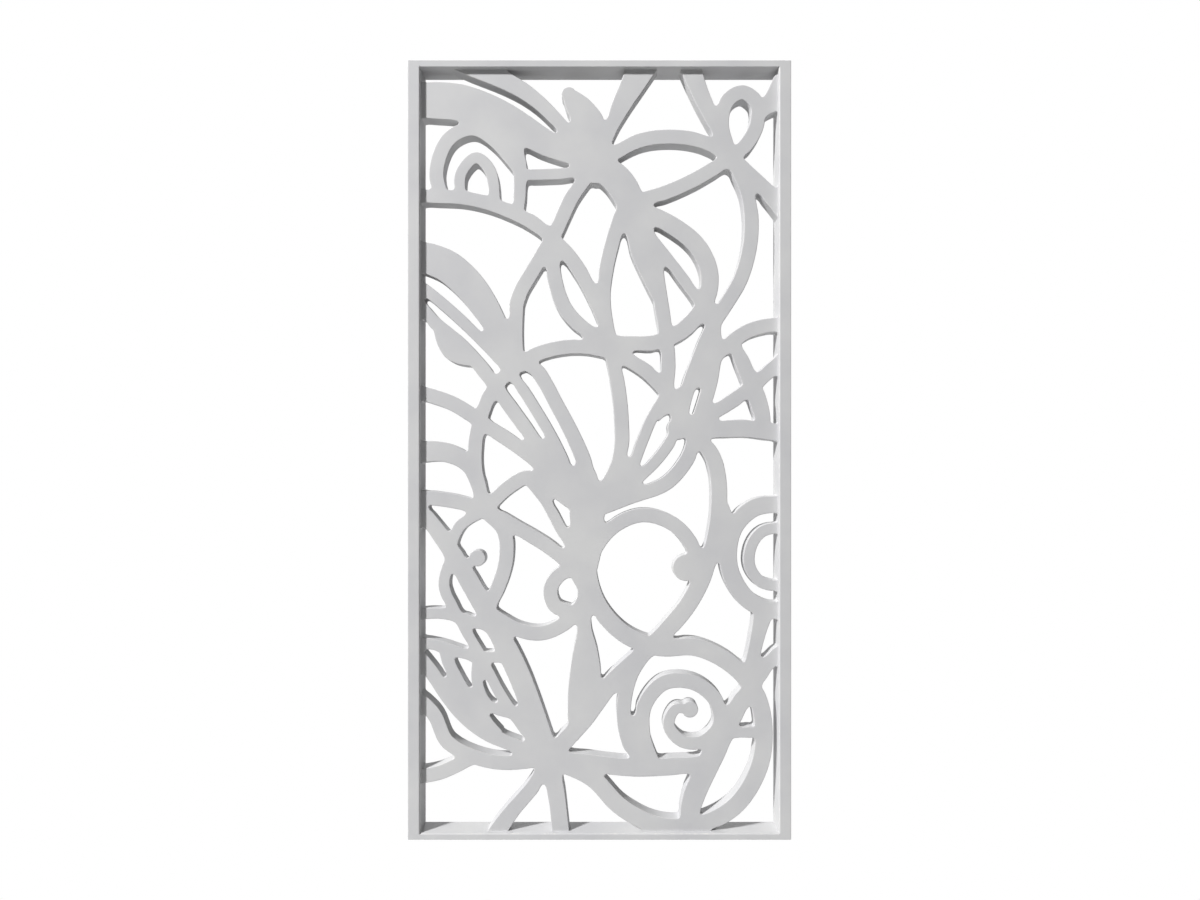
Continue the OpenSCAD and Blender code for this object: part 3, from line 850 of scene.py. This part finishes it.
def panel_pin_tree():
    tree, given = new_tree("panel_pin", ["Radius", "Length"])
    radius, length = given["Radius"], given["Length"]
    wire = add(tree, "GeometryNodeMeshCone", {"Vertices": 16, "Radius Top": radius,
                                              "Radius Bottom": radius, "Depth": length})
    head_r = add(tree, "ShaderNodeMath", {0: radius, 1: PIN_HEAD}, operation="MULTIPLY")
    dome = add(tree, "GeometryNodeMeshUVSphere", {"Segments": 16, "Rings": 8,
                                                  "Radius": head_r.outputs["Value"]})
    dome = add(tree, "GeometryNodeTransform", {"Geometry": dome.outputs["Mesh"],
                                               "Scale": (1, 1, PIN_DOME)})
    whole = add(tree, "GeometryNodeJoinGeometry", {"Geometry": (
        lowered(tree, wire.outputs["Mesh"], length), dome.outputs["Geometry"])})
    set_on_points(tree, given, whole.outputs["Geometry"])
    return tree


pin_tree = panel_pin_tree()
for side, sense in (("left", 1), ("right", -1)):
    heads = head_places(side + "_bead_pins", 0, side == "left")
    pins = grow(side + "_panel_pins", pin_tree, heads, {
        "Radius": PIN_R, "Length": PIN_LENGTH, "Turn": (0, sense * math.pi / 2, 0),
        "Finish": steel})
    finish_piece(pins, steel, side + "_bead_pins")
    print(pins.name, len(heads), "pins,", len(pins.data.polygons), "faces")

# %% [markdown]
# ## Threads of the hanging inserts
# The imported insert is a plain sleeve. The real one has an M6 thread inside for the eye
# bolt and a coarse thread outside that bites into the wood. Both are the same helix with
# other sizes, so one small tree makes them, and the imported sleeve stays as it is.

# %% Inner and outer thread
def insert_thread_tree():
    tree, given = new_tree("insert_thread", ["Radius", "Height", "Pitch", "Ridge"])
    ridge = thread(tree, given["Radius"], given["Height"], given["Pitch"], given["Ridge"])
    set_on_points(tree, given, ridge)
    return tree


thread_tree = insert_thread_tree()
insert_low, insert_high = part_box("right_hanging_insert")
insert_x = (insert_low.x + insert_high.x) / 2
SLEEVE_R = (insert_high.x - insert_low.x) / 2
BORE_R = frame["record"]["mounts"][0]["dims"]["hole_r_mm"] * MM
# radius, pitch and ridge of each thread
THREADS = {"inner": (BORE_R, 1.0 * MM, 0.45 * MM),
           "outer": (SLEEVE_R, 2.5 * MM, 0.7 * MM)}
CLEAR = 1.2 * MM                    # from the thread to each end of the sleeve

for kind, (radius, pitch, ridge) in THREADS.items():
    starts = [(side * insert_x, 0, insert_low.z + CLEAR) for side in (-1, 1)]
    winding = grow("insert_threads_" + kind, thread_tree, starts, {
        "Radius": radius, "Height": insert_high.z - insert_low.z - 2 * CLEAR,
        "Pitch": pitch, "Ridge": ridge, "Finish": brass})
    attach(winding, "root")
    print(winding.name, len(winding.data.polygons), "faces")

# %% [markdown]
# ## Backdrop, light and camera
# The picture shows the panel straight on, on pure white, from about a metre away, which
# is why all four inner walls show. The camera stands a little below the panel's middle
# and a small shift keeps the frame upright. A small key lamp, high on the left, throws
# the fairly crisp shadows of the side bar and the top rail on the sheet and leaves the
# walls that face right and down in the darker grey of the room's light. A fill lamp
# straight behind serves only the views of the back: it grazes every wall, so the front
# view doesn't change, and the walls don't mirror it. The white behind is only what the
# camera sees. It adds no light to the object.

# %% White where the studio is seen
WORLD_LEVEL = 0.15                  # the room's own light on the panel


def seen_directly(tree):
    """1 for rays that should meet the plain white studio, 0 for the rays that light."""
    path = add(tree, "ShaderNodeLightPath").outputs
    both = add(tree, "ShaderNodeMath", {0: path["Is Camera Ray"], 1: path["Is Glossy Ray"]},
               operation="MAXIMUM")
    return add(tree, "ShaderNodeMath", {0: both.outputs["Value"],
                                        1: path["Is Transmission Ray"]},
               operation="MAXIMUM").outputs["Value"]


def studio_world():
    world = bpy.data.worlds.new("studio")
    bpy.context.scene.world = world
    world.use_nodes = True
    tree = world.node_tree
    tree.nodes.clear()
    level = add(tree, "ShaderNodeMapRange", {"Value": seen_directly(tree),
                                             "To Min": WORLD_LEVEL, "To Max": 1.0})
    light = add(tree, "ShaderNodeBackground", {"Strength": level.outputs["Result"],
                                               "Color": (1, 1, 1, 1)})
    add(tree, "ShaderNodeOutputWorld", {"Surface": light.outputs["Background"]})


studio_world()
print("the room lights at %.2f and looks white" % WORLD_LEVEL)

# %% Floor
FLOOR_DROP = 0.9                    # from the foot of the panel
FLOOR_RADIUS = 1.45
FADE_FROM, FADE_TO = 0.45, 0.95     # parts of that radius, between which it turns white
floor_z = cad_low.z - FLOOR_DROP


def studio_floor():
    bpy.ops.mesh.primitive_circle_add(vertices=128, radius=FLOOR_RADIUS, fill_type="NGON",
                                      location=(0, 0, floor_z))
    floor = bpy.context.object
    floor.name = "studio_floor"
    material, tree, place = new_material("studio_white")
    reach = add(tree, "ShaderNodeVectorMath", {0: place}, operation="LENGTH")
    matt = add(tree, "ShaderNodeBsdfPrincipled", {"Base Color": linear("#F4F4F4"),
                                                  "Roughness": 0.9})
    white = add(tree, "ShaderNodeEmission", {"Color": (1, 1, 1, 1), "Strength": 1.0})
    fade = add(tree, "ShaderNodeMapRange", {
        "Value": reach.outputs["Value"], "From Min": FLOOR_RADIUS * FADE_FROM,
        "From Max": FLOOR_RADIUS * FADE_TO}, interpolation_type="SMOOTHSTEP")
    far = add(tree, "ShaderNodeMath", {0: fade.outputs["Result"], 1: seen_directly(tree)},
              operation="MULTIPLY")
    mixed = add(tree, "ShaderNodeMixShader", {
        0: far.outputs["Value"], 1: matt.outputs["BSDF"], 2: white.outputs["Emission"]})
    add(tree, "ShaderNodeOutputMaterial", {"Surface": mixed.outputs["Shader"]})
    floor.data.materials.append(material)


studio_floor()
print("floor at z = %.2f m" % floor_z)

# %% Lamps
panel_middle = (cad_low + cad_high) / 2


def round_lamp(name, offset, size, watts, mirrored=True):
    """A round lamp at an offset from the panel's middle, pointing at it."""
    lamp = bpy.data.lights.new(name, "AREA")
    lamp.shape = "DISK"
    lamp.size = size
    lamp.energy = watts
    obj = new_object(name, lamp)
    obj.location = panel_middle + Vector(offset)
    obj.rotation_euler = (-Vector(offset)).to_track_quat("-Z", "Y").to_euler()
    obj.visible_camera = False
    obj.visible_glossy = mirrored


round_lamp("key", (-7.0, -5.5, 6.1), 1.2, 1620)
round_lamp("back_fill", (-1.2, 6.0, 1.2), 1.0, 200, mirrored=False)

# %% Camera
PHOTO_W = 1200
PANEL_PX = 383.6                    # the panel's width in the photograph's pixels
CAMERA_DISTANCE = 1.10              # from the front of the frame
CAMERA_DROP = 36 * MM               # below the panel's middle
SENSOR = 36.0                       # width in mm, as the lens

view_w = panel_w * PHOTO_W / PANEL_PX
camera = new_object("camera", bpy.data.cameras.new("camera"))
camera.location = (panel_middle.x, front_y - CAMERA_DISTANCE, panel_middle.z - CAMERA_DROP)
camera.rotation_euler = (math.pi / 2, 0, 0)
camera.data.sensor_width = SENSOR
camera.data.lens = SENSOR * CAMERA_DISTANCE / view_w
camera.data.shift_y = CAMERA_DROP / view_w
camera.data.shift_x = 0.5 / PHOTO_W         # the panel is half a pixel off the middle
camera.data.clip_start = 0.05
bpy.context.scene.camera = camera
bpy.context.scene.view_settings.view_transform = "Standard"
print("lens %.1f mm, view %.2f m wide" % (camera.data.lens, view_w))
